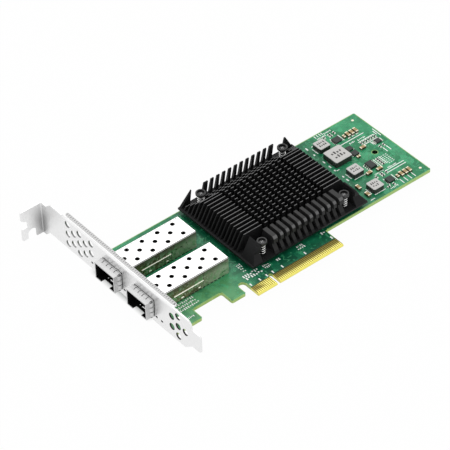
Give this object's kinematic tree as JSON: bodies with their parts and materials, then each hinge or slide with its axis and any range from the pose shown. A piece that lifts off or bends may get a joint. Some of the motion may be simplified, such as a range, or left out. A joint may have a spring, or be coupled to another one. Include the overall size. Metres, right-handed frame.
{
  "type": "network interface card",
  "caption": "Expansion card with optical module ports, a full-height bracket, a large pin-fin heat sink and a gold edge connector.",
  "frame": {"origin": "centre of the key notch at the bottom edge of the edge contacts, at half the board's thickness", "axes": "+X along the board away from the bracket, +Y from the edge contacts to the opposite long edge, +Z out of the component side"},
  "size_m": [0.175, 0.12, 0.0221],
  "materials": {
    "circuit_board": "green solder mask over glass laminate, yellow-green cut edge",
    "edge_contacts": "gold plating",
    "bracket": "bright plated sheet, lightly brushed",
    "bracket_gasket": "grey conductive cloth, ribbed",
    "bracket_screws": "bright plated",
    "near_port_cage": "tin-plated sheet, shiny sides",
    "far_port_cage": "tin-plated sheet, shiny sides",
    "near_cage_floor": "tin-plated sheet",
    "far_cage_floor": "tin-plated sheet",
    "near_spring_collar": "tin-plated spring sheet",
    "far_spring_collar": "tin-plated spring sheet",
    "near_port_socket": "black moulded plastic",
    "far_port_socket": "black moulded plastic",
    "socket_contacts": "gold plating",
    "indicator_lamps": "clear to milky moulded plastic",
    "heat_sink": "black anodised extrusion, satin",
    "heat_sink_screws": "black heads, bright recesses",
    "heat_sink_springs": "bright spring wire",
    "heat_sink_nuts": "bright plated",
    "controller_chip": "dark package",
    "thermal_pad": "grey soft pad",
    "large_inductor": "grey pressed powder, pale top",
    "small_inductors": "grey pressed powder, pale top",
    "inductor_terminals": "tinned",
    "power_chips": "dark moulded package",
    "eight_lead_chip": "dark moulded package",
    "eight_lead_chip_leads": "tinned",
    "small_leaded_chip": "dark moulded package",
    "small_leaded_chip_leads": "tinned",
    "capacitor_bodies": "tan ceramic",
    "capacitor_ends": "tinned",
    "resistor_bodies": "black coated ceramic",
    "resistor_ends": "tinned"
  },
  "bodies": {
    "root": {"circuit_board": "circuit_board", "edge_contacts": "edge_contacts", "bracket": "bracket", "bracket_gasket": "bracket_gasket", "bracket_screws": "bracket_screws", "near_port_cage": "near_port_cage", "far_port_cage": "far_port_cage", "near_cage_floor": "near_cage_floor", "far_cage_floor": "far_cage_floor", "near_spring_collar": "near_spring_collar", "far_spring_collar": "far_spring_collar", "near_port_socket": "near_port_socket", "far_port_socket": "far_port_socket", "socket_contacts": "socket_contacts", "indicator_lamps": "indicator_lamps", "heat_sink": "heat_sink", "heat_sink_screws": "heat_sink_screws", "heat_sink_springs": "heat_sink_springs", "heat_sink_nuts": "heat_sink_nuts", "controller_chip": "controller_chip", "thermal_pad": "thermal_pad", "large_inductor": "large_inductor", "small_inductors": "small_inductors", "inductor_terminals": "inductor_terminals", "power_chips": "power_chips", "eight_lead_chip": "eight_lead_chip", "eight_lead_chip_leads": "eight_lead_chip_leads", "small_leaded_chip": "small_leaded_chip", "small_leaded_chip_leads": "small_leaded_chip_leads", "capacitor_bodies": "capacitor_bodies", "capacitor_ends": "capacitor_ends", "resistor_bodies": "resistor_bodies", "resistor_ends": "resistor_ends"}
  },
  "joints": []
}
